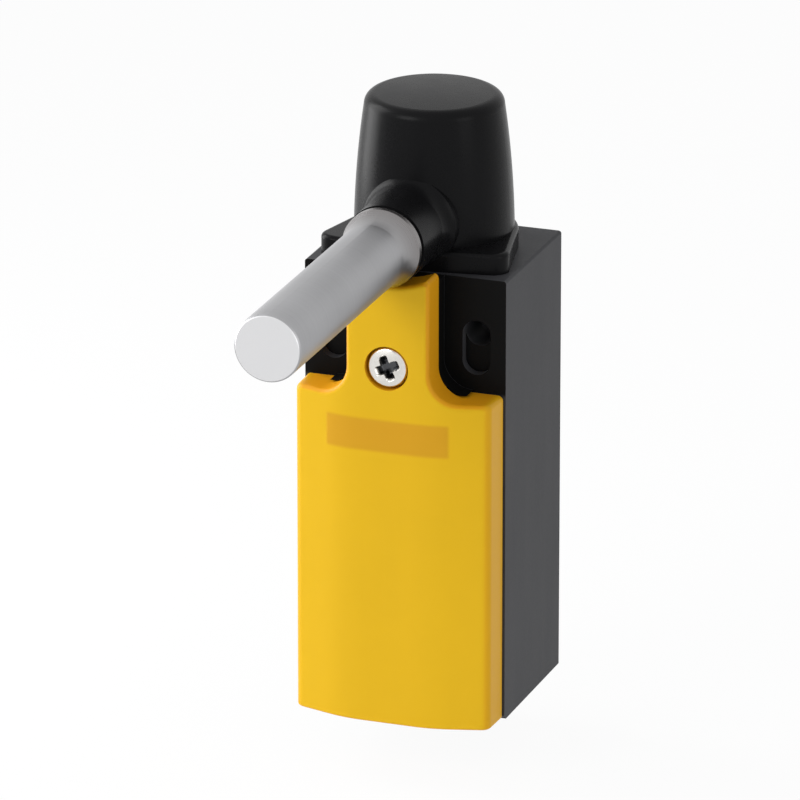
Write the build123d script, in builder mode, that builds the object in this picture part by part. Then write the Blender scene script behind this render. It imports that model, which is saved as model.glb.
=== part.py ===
# Safety hinge switch with a solid shaft, as separate pieces.
# Millimetres, +Z up, the front of the switch faces -Y.
# The origin is the centre of the cable entry's mouth, straight below the axis of the round head.
from build123d import *
from math import cos, radians, sin, sqrt
import os

os.makedirs("parts", exist_ok=True)

# Body
body_width = 31.0
body_height = 68.0
base_depth = 25.0
wall = 2.2
rear_edge_radius = 0.6
chamber_corner_radius = 1.0
small_edge = 0.4

# Cable entry, M20 x 1.5: the bore is drawn at the thread's minor diameter
entry_radius = 9.19
entry_length = 9.0

# Fixing holes in the lands beside the neck
fixing_pitch = 22.0
fixing_radius = 2.15
fixing_drop = 8.6
fixing_slot_length = 8.3
fixing_slot_depth = 1.5

# Front cover
cover_gap = 0.3
cover_depth = 8.0
cover_wall = 1.8
cover_side_step = 0.3
cover_draft = 0.2
cover_flat_half = 6.8
cover_crown = 2.4
cover_bend_radius = 20.0
cover_corner_radius = 1.5
cover_rolled_edge = 0.8
cover_foot = 0.3
shoulder_drop = 17.4
neck_half = 6.35
neck_rise = 1.3
neck_step = 3.0
neck_fillet = 4.5
neck_corner_radius = 0.8
scoop_radius = 15.0
scoop_clearance = 0.35

# Lugs at the foot of the cover, and their notches in the base
lug_radius = 0.9
lug_height = 1.3
lug_inset = 1.7
lug_half_length = 2.0
lug_pitch = 18.0
lug_arm_half = 0.6
notch_clearance = 0.35
base_foot_chamfer = 0.7

# Cover screw, M4: the shank is drawn at the minor and the insert at the major diameter
screw_drop = 12.5
screw_head_radius = 3.05
screw_head_height = 1.9
screw_head_dome = 0.35
screw_shank_radius = 1.6
screw_recess_radius = 3.35
screw_hole_radius = 2.2
screw_engagement = 5.0
cross_width = 0.7
cross_length = 3.4
cross_depth = 1.1
small_cross_length = 2.4
insert_bore = 2.0
insert_radius = 2.9
insert_length = 7.0
retainer_radius = 3.0
retainer_thickness = 0.8
screw_boss_radius = 3.9

# Gasket between the base and the cover
gasket_width = 1.2
gasket_groove_depth = 1.0
gasket_inset = 0.5
seat_slack = 0.05

# Head
head_height = 23.6
flange_height = 3.1
flange_inset = 0.2
flange_corner_inset = 1.1
flange_front_inset = 1.3
flange_bow_radius = 120.0
flange_corner_radius = 2.4
flange_edge = 0.7
cone_foot_radius = 11.75
cone_middle_radius = 11.22
cone_top_radius = 10.05
cone_top_fillet = 1.7
cone_dome = 0.35
head_wall = 2.4
spigot_radius = 8.4
spigot_depth = 4.0
spigot_wall = 2.0
spigot_clearance = 0.2
boss_radius = 6.05
boss_overhang = 0.7
boss_flare = 1.1
boss_flare_bow = (0.7, 0.32)
head_seal_radius = 0.55
head_screw_x = 6.9
head_screw_y = 7.6
head_screw_radius = 1.25
head_screw_head_radius = 2.2
head_screw_head_height = 1.6
head_screw_grip = 2.6

# Shaft and its bearings
shaft_rise = 6.5
shaft_radius = 5.0
shaft_length = 47.3
shaft_end_chamfer = 0.3
collar_radius = 5.95
collar_rim = 1.3
collar_flare = 4.2
collar_flare_bow = (0.35, 0.45)
collar_gap = 0.3
journal_radius = 4.0
cam_seat_radius = 3.5
tail_radius = 3.0
tail_length = 3.5
tail_boss_radius = 5.4
tail_boss_length = 2.6
running_clearance = 0.05
bush_wall = 0.9
bush_setback = 2.0
seal_setback = 0.3
seal_length = 1.5
inner_boss_wall = 1.0
clip_thickness = 0.8
clip_radius = 5.4
clip_groove_depth = 0.4
clip_opening = 50.0
axial_gap = 0.2

# Cam and plunger: the involute flank lifts evenly, cam_rate millimetres for each radian
cam_start = 4.8
cam_rate = 1.655
cam_turn = 90
cam_margin = 10
cam_step = 10
cam_width = 5.6
cam_hub_radius = 4.6
cam_hub_length = 2.4
cam_relief = 0.1
cam_bore_slack = 0.02
cam_pin_radius = 0.75
follower_gap = 0.05
plunger_head_radius = 4.2
plunger_head_height = 2.0
plunger_stem_radius = 2.5
guide_radius = 6.5
guide_seat_height = 7.7
guide_cup_wall = 1.8
plunger_seal_width = 1.05
plunger_seal_height = 1.2
plunger_seal_rise = 1.2
plunger_spring_inset = 0.6
plunger_spring_wire = 0.3
plunger_spring_turns = 5

# Contact insert
block_top_gap = 0.3
block_side_gap = 0.4
block_height = 28.0
block_reach = 7.0
block_rear_gap = 2.8
block_roof = 1.6
block_floor = 1.5
block_side = 5.3
block_back = 2.0
divider = 0.8
barrier = 0.9
barrier_reach = 4.5
rim_overlap = 0.3
carrier_half_width = 3.0
carrier_half_depth = 2.6
carrier_slack = 0.3
carrier_top_drop = 1.0
carrier_neck_length = 0.8
carrier_foot_rise = 4.9
contact_gap = 0.05
rivet_height = 0.5
rivet_radius = 1.0
rivet_reach = 5.6
bridge_thickness = 0.6
bridge_half_length = 6.6
bridge_half_width = 1.5
window_slack = 0.2
bridge_spring_height = 2.2
bridge_spring_radius = 0.9
bridge_spring_wire = 0.2
bridge_spring_turns = 3
strip_thickness = 0.8
strip_inner = 4.6
strip_half_width = 1.6
strip_margin = 0.6
tab_height = 4.8
tab_half_width = 2.1
upper_level_drop = 3.0
middle_level_drop = 11.3
lower_level_rise = 3.95
clamp_thickness = 0.8
terminal_shank_radius = 1.4
terminal_head_radius = 2.0
terminal_head_height = 1.9
terminal_shank_length = 6.6
terminal_slot = 0.7
plate_thickness = 1.5
plate_rib_half = 1.8
plate_panel_inset = 2.3
carrier_spring_radius = 1.4
carrier_spring_wire = 0.22
carrier_spring_turns = 5
carrier_pocket = 1.8
floor_pocket = 0.9
ear_height = 4.3
ear_thickness = 3.0
ear_half_width = 2.3
block_screw_radius = 1.3
block_screw_head_radius = 2.0
block_screw_head_height = 1.6
block_screw_grip = 2.4

# Places that follow from the sizes above
half_width = body_width / 2
front_y = -base_depth / 2
rear_y = base_depth / 2
chamber_half = half_width - wall
chamber_rear = rear_y - wall
shoulder_z = body_height - shoulder_drop
chamber_top = shoulder_z - wall
chamber_middle = (entry_length + chamber_top) / 2
fixing_z = body_height - fixing_drop

cover_rear_y = front_y - cover_gap
cover_front_y = front_y - cover_depth
cover_rear_half = half_width - cover_side_step
cover_front_half = cover_rear_half - cover_draft
cover_corner_y = cover_front_y + cover_crown
neck_top = body_height + neck_rise
neck_seat_y = front_y - neck_step
neck_rear_y = neck_seat_y - cover_gap
lug_y = front_y + lug_inset
screw_z = body_height - screw_drop
screw_seat_y = cover_front_y + screw_head_height + screw_head_dome

shaft_z = body_height + shaft_rise
head_top = body_height + head_height
flange_top = body_height + flange_height
flange_radius = base_depth / 2 - flange_inset
flange_corner_half = half_width - flange_corner_inset
flange_front_y = front_y + flange_front_inset
boss_face_y = cover_front_y - boss_overhang
cavity_radius = cone_middle_radius - head_wall
spigot_bottom = body_height - spigot_depth
spigot_inner = spigot_radius - spigot_wall
seal_z = body_height - spigot_depth / 2

cam_front_y = -cam_width / 2
hub_front_y = cam_front_y - cam_hub_length
pin_y = hub_front_y + cam_hub_length / 2
clip_rear_y = hub_front_y - axial_gap
clip_front_y = clip_rear_y - clip_thickness
bush_rear_y = clip_front_y - axial_gap
bush_radius = journal_radius + bush_wall
bush_front_y = boss_face_y + bush_setback
collar_rear_y = boss_face_y - collar_gap
collar_front_y = collar_rear_y - collar_rim
shaft_tip_y = collar_rear_y - shaft_length
tail_boss_y = cavity_radius - tail_boss_length
tail_start_y = tail_boss_y - collar_gap
tail_end_y = tail_start_y + tail_length

cam_lift = cam_rate * radians(cam_turn)
follower_z = shaft_z - cam_start - follower_gap
plunger_neck_z = follower_z - plunger_head_height
guide_top = spigot_bottom - cover_gap
guide_seat_z = chamber_top + guide_seat_height
guide_cup_radius = guide_radius - guide_cup_wall
plunger_bore = plunger_stem_radius + running_clearance
plunger_seal_radius = plunger_bore + plunger_seal_width
plunger_seal_low = chamber_top + plunger_seal_rise

block_top = chamber_top - block_top_gap
block_half = chamber_half - block_side_gap
block_bottom = block_top - block_height
block_front = -block_reach
block_rear = chamber_rear - block_rear_gap
cavity_half = block_half - block_side
cavity_rear = block_rear - block_back
cavity_top = block_top - block_roof
cavity_bottom = block_bottom + block_floor
carrier_top = block_top - carrier_top_drop
carrier_shoulder = carrier_top - carrier_neck_length
carrier_bottom = block_bottom + carrier_foot_rise
plunger_foot = carrier_top + follower_gap
terminal_x = block_half - strip_margin - tab_half_width
strip_outer = terminal_x + tab_half_width
tab_y = block_front - strip_thickness
clamp_y = tab_y - clamp_thickness
screw_bore = terminal_shank_radius + seat_slack
ear_z = block_bottom - ear_height / 2
ear_front = block_rear - ear_thickness

# The three contact levels: the height of the strip's face that carries the rivet,
# and the way the rivet points, down on an opening contact and up on the closing one
levels = (
    (block_top - upper_level_drop - strip_thickness, -1),
    (block_top - middle_level_drop - strip_thickness, -1),
    (block_bottom + lower_level_rise, 1),
)
sides = (-1, 1)


def facing_front(y):
    """A plane at this Y with X to the right and Z up, whose positive side is the front."""
    return Plane.XZ.offset(-y)


def strip_span(strip_face, way):
    """Lowest and highest Z of a fixed strip."""
    return sorted((strip_face, strip_face - way * strip_thickness))


def tab_span(strip_face, way):
    """Lowest and highest Z of a terminal tab, which hangs from its strip or stands on it."""
    far = strip_face - way * strip_thickness
    return sorted((far, far + way * tab_height))


def bridge_face(strip_face, way):
    """Height of the face of a bridge that its rivets stand on."""
    travel = cam_lift if way > 0 else 0.0
    return strip_face + way * (2 * rivet_height + contact_gap + travel)


def bridge_span(strip_face, way):
    """Lowest and highest Z of a bridge."""
    face = bridge_face(strip_face, way)
    return sorted((face, face + way * bridge_thickness))


def bridge_spring_span(strip_face, way):
    """Lowest and highest Z of the spring that presses a bridge towards its fixed contacts."""
    low, high = bridge_span(strip_face, way)
    near = high if way > 0 else low
    return sorted((near, near + way * bridge_spring_height))


tab_middles = [sum(tab_span(*level)) / 2 for level in levels]
divider_heights = [
    (tab_span(*levels[0])[0] + tab_span(*levels[1])[1]) / 2,
    (tab_span(*levels[1])[0] + tab_span(*levels[2])[1]) / 2,
]


def crowned_plan(inset, rear):
    """Plan of the cover with its crowned front, drawn inset from the outside."""
    rear_half = cover_rear_half - inset
    front_half = cover_front_half - inset
    with BuildSketch() as plan:
        with BuildLine():
            Polyline(
                (-rear_half, rear),
                (-front_half, cover_corner_y + inset),
                (-cover_flat_half, cover_front_y + inset),
                (cover_flat_half, cover_front_y + inset),
                (front_half, cover_corner_y + inset),
                (rear_half, rear),
                close=True,
            )
        make_face()
        fillet(plan.vertices().group_by(Axis.Y)[1], radius=cover_corner_radius)
        fillet(plan.vertices().group_by(Axis.Y)[0], radius=cover_bend_radius - inset)
    return plan.sketch


def coil(radius, wire, low, high, turns):
    """A round-wire spring on the Z axis, between the two heights."""
    pitch = (high - low - 2 * wire) / turns
    with BuildPart() as spring:
        with BuildLine(Plane.XY.offset(low + wire)) as path:
            Helix(pitch=pitch, height=pitch * turns, radius=radius)
        with BuildSketch(Plane(origin=path.line @ 0, z_dir=path.line % 0)):
            Circle(wire)
        sweep(path=path.line, is_frenet=True)
    return spring.part


# The moulded base
with BuildPart() as housing_base:
    with BuildSketch(Plane.XY):
        Rectangle(body_width, base_depth)
    extrude(amount=body_height)
    rear_edges = housing_base.edges().filter_by(Axis.Z).group_by(Axis.Y)[-1]
    fillet(rear_edges, radius=rear_edge_radius)
    top_edges = housing_base.faces().sort_by(Axis.Z)[-1].edges()
    fillet(top_edges.sort_by(Axis.Y)[1:], radius=small_edge)
    foot_edge = housing_base.faces().sort_by(Axis.Z)[0].edges().sort_by(Axis.Y)[0]
    chamfer(foot_edge, length=base_foot_chamfer)
    # Raised seat behind the cover's neck
    with BuildSketch(facing_front(front_y)):
        seat_half = neck_half - cover_gap
        seat_low = shoulder_z + cover_gap
        with BuildLine():
            Polyline(
                (-seat_half - neck_fillet, seat_low),
                (seat_half + neck_fillet, seat_low),
                (seat_half, seat_low + neck_fillet),
                (seat_half, body_height),
                (-seat_half, body_height),
                (-seat_half, seat_low + neck_fillet),
                close=True,
            )
        make_face()
        with Locations(
            (-seat_half - neck_fillet, seat_low + neck_fillet),
            (seat_half + neck_fillet, seat_low + neck_fillet),
        ):
            Circle(neck_fillet, mode=Mode.SUBTRACT)
    extrude(amount=neck_step)
    # Contact and wiring chamber, open to the front
    with BuildSketch(facing_front(front_y)):
        with Locations((0, chamber_middle)):
            RectangleRounded(2 * chamber_half, chamber_top - entry_length, chamber_corner_radius)
    extrude(amount=-(base_depth - wall), mode=Mode.SUBTRACT)
    # Groove for the gasket round the chamber's mouth
    with BuildSketch(facing_front(front_y)):
        groove_outer = gasket_inset + gasket_width
        with Locations((0, chamber_middle)):
            RectangleRounded(
                2 * (chamber_half + groove_outer),
                chamber_top - entry_length + 2 * groove_outer,
                chamber_corner_radius + groove_outer,
            )
            RectangleRounded(
                2 * (chamber_half + gasket_inset),
                chamber_top - entry_length + 2 * gasket_inset,
                chamber_corner_radius + gasket_inset,
                mode=Mode.SUBTRACT,
            )
    extrude(amount=-gasket_groove_depth, mode=Mode.SUBTRACT)
    # Rails on the rear wall that carry the contact insert, with their pilot holes
    with BuildSketch(Plane.XY.offset(entry_length)):
        rail_middle = (block_rear + chamber_rear + wall / 2) / 2
        with Locations((-terminal_x, rail_middle), (terminal_x, rail_middle)):
            Rectangle(2 * ear_half_width, block_rear_gap + wall / 2)
    extrude(amount=block_top - entry_length)
    with BuildSketch(facing_front(block_rear)):
        with Locations((-terminal_x, ear_z), (terminal_x, ear_z)):
            Circle(block_screw_radius)
    extrude(amount=-(block_rear_gap + small_edge), mode=Mode.SUBTRACT)
    # Cable entry
    with BuildSketch(Plane.XY):
        Circle(entry_radius)
    extrude(amount=entry_length, mode=Mode.SUBTRACT)
    # Seat of the head's spigot, bore of the plunger guide and the holes of the head's screws
    with BuildSketch(Plane.XY.offset(body_height)):
        Circle(spigot_radius + spigot_clearance)
    extrude(amount=-(spigot_depth + spigot_clearance), mode=Mode.SUBTRACT)
    with BuildSketch(Plane.XY.offset(chamber_top)):
        Circle(guide_radius)
        with GridLocations(2 * head_screw_x, 2 * head_screw_y, 2, 2):
            Circle(head_screw_radius + seat_slack)
    extrude(amount=body_height - chamber_top, mode=Mode.SUBTRACT)
    with BuildSketch(Plane.XY.offset(chamber_top)):
        with GridLocations(2 * head_screw_x, 2 * head_screw_y, 2, 2):
            Circle(head_screw_head_radius + seat_slack)
    extrude(amount=head_screw_head_height, mode=Mode.SUBTRACT)
    # Fixing holes and the upright slots that they open from
    with BuildSketch(facing_front(front_y)):
        with Locations((-fixing_pitch / 2, fixing_z), (fixing_pitch / 2, fixing_z)):
            Circle(fixing_radius)
    extrude(amount=-base_depth, mode=Mode.SUBTRACT)
    with BuildSketch(facing_front(front_y)):
        slot_z = fixing_z + fixing_radius - fixing_slot_length / 2
        with Locations((-fixing_pitch / 2, slot_z), (fixing_pitch / 2, slot_z)):
            SlotOverall(fixing_slot_length, 2 * fixing_radius, rotation=90)
    extrude(amount=-fixing_slot_depth, mode=Mode.SUBTRACT)
    # Hole of the threaded insert
    with BuildSketch(facing_front(neck_seat_y)):
        with Locations((0, screw_z)):
            Circle(insert_radius)
    extrude(amount=-insert_length, mode=Mode.SUBTRACT)
    # Notches for the cover's lugs, open to the front and to the underside
    with BuildSketch(facing_front(front_y)):
        notch_top = lug_height + lug_radius + notch_clearance
        with Locations((-lug_pitch / 2, notch_top / 2), (lug_pitch / 2, notch_top / 2)):
            Rectangle(2 * (lug_half_length + notch_clearance), notch_top)
    extrude(amount=-(lug_inset + lug_radius + notch_clearance), mode=Mode.SUBTRACT)

housing_base.part.label = "housing_base"
export_step(housing_base.part, "parts/housing_base.step")

# The yellow cover: a crowned tray with a narrow neck
with BuildPart() as front_cover:
    with BuildSketch(Plane.XY.offset(cover_foot)):
        add(crowned_plan(0.0, cover_rear_y))
    extrude(amount=neck_top - cover_foot)
    with BuildSketch(facing_front(front_y)) as cover_front:
        with BuildLine():
            Polyline(
                (-half_width, cover_foot),
                (half_width, cover_foot),
                (half_width, shoulder_z),
                (neck_half, shoulder_z),
                (neck_half, neck_top),
                (-neck_half, neck_top),
                (-neck_half, shoulder_z),
                (-half_width, shoulder_z),
                close=True,
            )
        make_face()
        inner_corners = cover_front.vertices().group_by(Axis.Y)[1].sort_by(Axis.X)[1:3]
        fillet(inner_corners, radius=neck_fillet)
        top_corners = cover_front.vertices().group_by(Axis.Y)[-1]
        fillet(top_corners, radius=neck_corner_radius)
        with Locations((0, shaft_z - boss_radius - scoop_clearance + scoop_radius)):
            Circle(scoop_radius, mode=Mode.SUBTRACT)
    extrude(amount=2 * cover_depth, mode=Mode.INTERSECT)
    # Rolled edges round the front, except along the straight sides
    front_edges = front_cover.edges().filter_by(
        lambda edge: edge.bounding_box().max.Y < cover_rear_y - cover_rolled_edge
    )
    fillet(front_edges.filter_by(lambda edge: edge.center().Z > shoulder_z - small_edge), cover_rolled_edge)
    foot_edges = front_cover.faces().sort_by(Axis.Z)[0].edges()
    fillet(
        foot_edges.filter_by(lambda edge: edge.bounding_box().max.Y < cover_rear_y - cover_rolled_edge),
        small_edge,
    )
    # The tray's hollow and the rib across it that meets the gasket's lower run
    with BuildSketch(Plane.XY.offset(cover_foot + cover_wall)):
        add(crowned_plan(cover_wall, cover_rear_y + cover_wall))
    extrude(amount=shoulder_z - cover_foot - 2 * cover_wall, mode=Mode.SUBTRACT)
    with BuildSketch(Plane.XY.offset(entry_length - gasket_inset - gasket_width - small_edge)):
        add(crowned_plan(cover_wall / 2, cover_rear_y))
    extrude(amount=gasket_width + 2 * small_edge)
    # The neck is shallower than the tray, and has a pocket round the screw's boss
    with BuildSketch(facing_front(neck_rear_y)):
        with Locations((0, (shoulder_z + neck_top) / 2)):
            Rectangle(body_width, neck_top - shoulder_z)
    extrude(amount=-neck_step - cover_gap, mode=Mode.SUBTRACT)
    with BuildSketch(facing_front(neck_rear_y)):
        pocket_half_height = screw_drop - scoop_clearance - cover_wall
        with Locations((0, screw_z)):
            Rectangle(2 * (neck_half - cover_wall), pocket_half_height)
            Circle(screw_boss_radius, mode=Mode.SUBTRACT)
    extrude(amount=cover_depth - neck_step - cover_gap - cover_wall, mode=Mode.SUBTRACT)
    # Screw hole with its recess in front and the retainer's seat behind
    with BuildSketch(facing_front(neck_rear_y)):
        with Locations((0, screw_z)):
            Circle(screw_hole_radius)
    extrude(amount=cover_depth, mode=Mode.SUBTRACT)
    with BuildSketch(facing_front(screw_seat_y)):
        with Locations((0, screw_z)):
            Circle(screw_recess_radius)
    extrude(amount=cover_depth, mode=Mode.SUBTRACT)
    with BuildSketch(facing_front(neck_rear_y)):
        with Locations((0, screw_z)):
            Circle(retainer_radius)
    extrude(amount=retainer_thickness, mode=Mode.SUBTRACT)
    # Lugs that hook into the base and carry the cover while it tilts
    for lug_x in (-lug_pitch / 2, lug_pitch / 2):
        with BuildSketch(Plane.YZ.offset(lug_x - lug_half_length)):
            with Locations((lug_y, lug_height)):
                Circle(lug_radius)
            arm_front = cover_rear_y - cover_wall
            with Locations(((lug_y + arm_front) / 2, lug_height)):
                Rectangle(lug_y - arm_front, 2 * lug_arm_half)
        extrude(amount=2 * lug_half_length)

front_cover.part.label = "front_cover"
export_step(front_cover.part, "parts/front_cover.step")

# Gasket in the base's groove
with BuildPart() as cover_gasket:
    with BuildSketch(facing_front(front_y + gasket_groove_depth)):
        outer_grow = gasket_inset + gasket_width - seat_slack
        inner_grow = gasket_inset + seat_slack
        with Locations((0, chamber_middle)):
            RectangleRounded(
                2 * (chamber_half + outer_grow),
                chamber_top - entry_length + 2 * outer_grow,
                chamber_corner_radius + outer_grow,
            )
            RectangleRounded(
                2 * (chamber_half + inner_grow),
                chamber_top - entry_length + 2 * inner_grow,
                chamber_corner_radius + inner_grow,
                mode=Mode.SUBTRACT,
            )
    extrude(amount=gasket_groove_depth + cover_gap - seat_slack)

cover_gasket.part.label = "cover_gasket"
export_step(cover_gasket.part, "parts/cover_gasket.step")

# Cover screw with a domed head and a cross recess
with BuildPart() as cover_screw:
    head_back_y = screw_seat_y - seat_slack
    head_rim_y = head_back_y - screw_head_height
    head_crown_y = head_rim_y - screw_head_dome
    screw_tip_y = neck_seat_y + screw_engagement
    with BuildSketch(Plane.YZ):
        with BuildLine():
            Polyline(
                (head_crown_y, screw_z),
                (screw_tip_y, screw_z),
                (screw_tip_y, screw_z + screw_shank_radius - small_edge),
                (screw_tip_y - small_edge, screw_z + screw_shank_radius),
                (head_back_y, screw_z + screw_shank_radius),
                (head_back_y, screw_z + screw_head_radius),
                (head_rim_y, screw_z + screw_head_radius),
            )
            ThreePointArc(
                (head_rim_y, screw_z + screw_head_radius),
                (head_rim_y - screw_head_dome * 3 / 4, screw_z + screw_head_radius / 2),
                (head_crown_y, screw_z),
            )
        make_face()
    revolve(axis=Axis((0, 0, screw_z), (0, 1, 0)))
    with BuildSketch(facing_front(head_crown_y + cross_depth)):
        with Locations((0, screw_z)):
            Rectangle(cross_length, cross_width, rotation=45)
            Rectangle(cross_length, cross_width, rotation=-45)
    extrude(amount=2 * cross_depth, mode=Mode.SUBTRACT)

cover_screw.part.label = "cover_screw"
export_step(cover_screw.part, "parts/cover_screw.step")

# Ring that keeps the screw in the cover
with BuildPart() as screw_retainer:
    with BuildSketch(facing_front(neck_rear_y)):
        with Locations((0, screw_z)):
            Circle(retainer_radius)
            Circle(screw_shank_radius + seat_slack, mode=Mode.SUBTRACT)
    extrude(amount=retainer_thickness)

screw_retainer.part.label = "screw_retainer"
export_step(screw_retainer.part, "parts/screw_retainer.step")

# Brass insert for the cover screw
with BuildPart() as threaded_insert:
    with BuildSketch(facing_front(neck_seat_y)):
        with Locations((0, screw_z)):
            Circle(insert_radius)
            Circle(insert_bore, mode=Mode.SUBTRACT)
    extrude(amount=-insert_length)

threaded_insert.part.label = "threaded_insert"
export_step(threaded_insert.part, "parts/threaded_insert.step")

# Round head with its foot flange, its boss and its spigot
with BuildPart() as head_housing:
    with BuildSketch(Plane.XY.offset(body_height)):
        # The rear follows the head, and each front corner is a smaller circle
        with BuildLine():
            corner_x = flange_corner_half - flange_corner_radius
            bow_inner = flange_bow_radius - flange_corner_radius
            bow_y = flange_front_y + flange_bow_radius
            corner_y = bow_y - sqrt(bow_inner**2 - corner_x**2)
            CenterArc((0, 0), flange_radius, 0, 360)
            CenterArc((-corner_x, corner_y), flange_corner_radius, 0, 360)
            CenterArc((corner_x, corner_y), flange_corner_radius, 0, 360)
        make_hull()
        # The front edge bows between the corners
        with BuildLine():
            bow_share = flange_bow_radius / bow_inner
            bow_end = (corner_x * bow_share, bow_y + (corner_y - bow_y) * bow_share)
            ThreePointArc((-bow_end[0], bow_end[1]), (0, flange_front_y), bow_end)
            Line(bow_end, (-bow_end[0], bow_end[1]))
        make_face()
    extrude(amount=flange_height)
    fillet(head_housing.faces().sort_by(Axis.Z)[-1].edges(), radius=flange_edge)
    # Barrelled cone
    with BuildSketch(Plane.XZ):
        cone_middle_z = (flange_top + head_top) / 2
        rim_z = head_top - cone_dome
        with BuildLine():
            Polyline(
                (0, head_top),
                (0, body_height),
                (cone_foot_radius, body_height),
                (cone_foot_radius, flange_top),
            )
            ThreePointArc(
                (cone_foot_radius, flange_top),
                (cone_middle_radius, cone_middle_z),
                (cone_top_radius, rim_z),
            )
            ThreePointArc(
                (cone_top_radius, rim_z),
                (cone_top_radius / 2, head_top - cone_dome / 4),
                (0, head_top),
            )
        make_face()
    revolve(axis=Axis.Z)
    rim = head_housing.edges().filter_by(lambda edge: edge.is_closed).sort_by(Axis.Z)[-1]
    fillet(rim, radius=cone_top_fillet)
    # Boss for the shaft, flaring into the cone
    with BuildSketch(Plane.YZ):
        flare_start_y = -cone_middle_radius - 2 * boss_flare
        flare_end_y = small_edge - cone_middle_radius
        with BuildLine():
            Polyline(
                (boss_face_y, shaft_z + boss_radius),
                (boss_face_y, shaft_z),
                (0, shaft_z),
                (0, shaft_z + boss_radius + boss_flare),
                (flare_end_y, shaft_z + boss_radius + boss_flare),
            )
            flare = ThreePointArc(
                (flare_end_y, shaft_z + boss_radius + boss_flare),
                (
                    -cone_middle_radius - boss_flare_bow[0] * boss_flare,
                    shaft_z + boss_radius + boss_flare_bow[1] * boss_flare,
                ),
                (flare_start_y, shaft_z + boss_radius),
            )
            Line(flare @ 1, (boss_face_y, shaft_z + boss_radius))
        make_face()
    revolve(axis=Axis((0, 0, shaft_z), (0, 1, 0)))
    with BuildSketch(Plane.XY.offset(body_height)):
        Rectangle(2 * body_width, 2 * body_width)
    extrude(amount=-2 * flange_height, mode=Mode.SUBTRACT)
    # Spigot with the groove of its seal ring
    with BuildSketch(Plane.XY.offset(body_height)):
        Circle(spigot_radius)
    extrude(amount=-spigot_depth)
    with BuildSketch(Plane.XY.offset(seal_z - head_seal_radius)):
        Circle(spigot_radius + spigot_clearance)
        Circle(spigot_radius + spigot_clearance - 2 * head_seal_radius, mode=Mode.SUBTRACT)
    extrude(amount=2 * head_seal_radius, mode=Mode.SUBTRACT)
    # Hollow inside
    with BuildSketch(Plane.XZ):
        with BuildLine():
            Polyline(
                (0, spigot_bottom),
                (spigot_inner, spigot_bottom),
                (spigot_inner, body_height + small_edge),
                (cavity_radius, body_height + small_edge),
                (cavity_radius, shaft_z + cavity_radius),
                (cone_top_radius - head_wall, head_top - head_wall),
                (0, head_top - head_wall),
                close=True,
            )
        make_face()
    revolve(axis=Axis.Z, mode=Mode.SUBTRACT)
    # Inner end of the front bearing, and the rear bearing for the shaft's tail
    with BuildSketch(facing_front(bush_rear_y)):
        with Locations((0, shaft_z)):
            Circle(bush_radius + inner_boss_wall)
    extrude(amount=cone_middle_radius - head_wall / 2 + bush_rear_y)
    with BuildSketch(facing_front(tail_boss_y)):
        with Locations((0, shaft_z)):
            Circle(tail_boss_radius)
    extrude(amount=-(tail_boss_length + head_wall / 2))
    with BuildSketch(facing_front(tail_boss_y)):
        with Locations((0, shaft_z)):
            Circle(tail_radius + running_clearance)
    extrude(amount=-tail_length, mode=Mode.SUBTRACT)
    with BuildSketch(facing_front(boss_face_y)):
        with Locations((0, shaft_z)):
            Circle(bush_radius)
    extrude(amount=boss_face_y - bush_rear_y, mode=Mode.SUBTRACT)
    # Pilot holes for the screws from below
    with BuildSketch(Plane.XY.offset(body_height)):
        with GridLocations(2 * head_screw_x, 2 * head_screw_y, 2, 2):
            Circle(head_screw_radius)
    extrude(amount=head_screw_grip, mode=Mode.SUBTRACT)

head_housing.part.label = "head_housing"
export_step(head_housing.part, "parts/head_housing.step")

# Seal ring round the spigot
with BuildPart() as head_seal:
    with BuildSketch(Plane.XZ):
        with Locations((spigot_radius + spigot_clearance - head_seal_radius, seal_z)):
            Circle(head_seal_radius)
    revolve(axis=Axis.Z)

head_seal.part.label = "head_seal"
export_step(head_seal.part, "parts/head_seal.step")

# Four screws that hold the head from inside the chamber
with BuildPart() as head_screws:
    with BuildSketch(Plane.XY.offset(chamber_top)):
        with GridLocations(2 * head_screw_x, 2 * head_screw_y, 2, 2):
            Circle(head_screw_head_radius)
    extrude(amount=head_screw_head_height)
    with BuildSketch(Plane.XY.offset(chamber_top)):
        with GridLocations(2 * head_screw_x, 2 * head_screw_y, 2, 2):
            Circle(head_screw_radius)
    extrude(amount=body_height + head_screw_grip - chamber_top)
    with BuildSketch(Plane.XY.offset(chamber_top)):
        with GridLocations(2 * head_screw_x, 2 * head_screw_y, 2, 2):
            Rectangle(small_cross_length, cross_width)
            Rectangle(cross_width, small_cross_length)
    extrude(amount=head_screw_head_height / 2, mode=Mode.SUBTRACT)

head_screws.part.label = "head_screws"
export_step(head_screws.part, "parts/head_screws.step")

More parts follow.
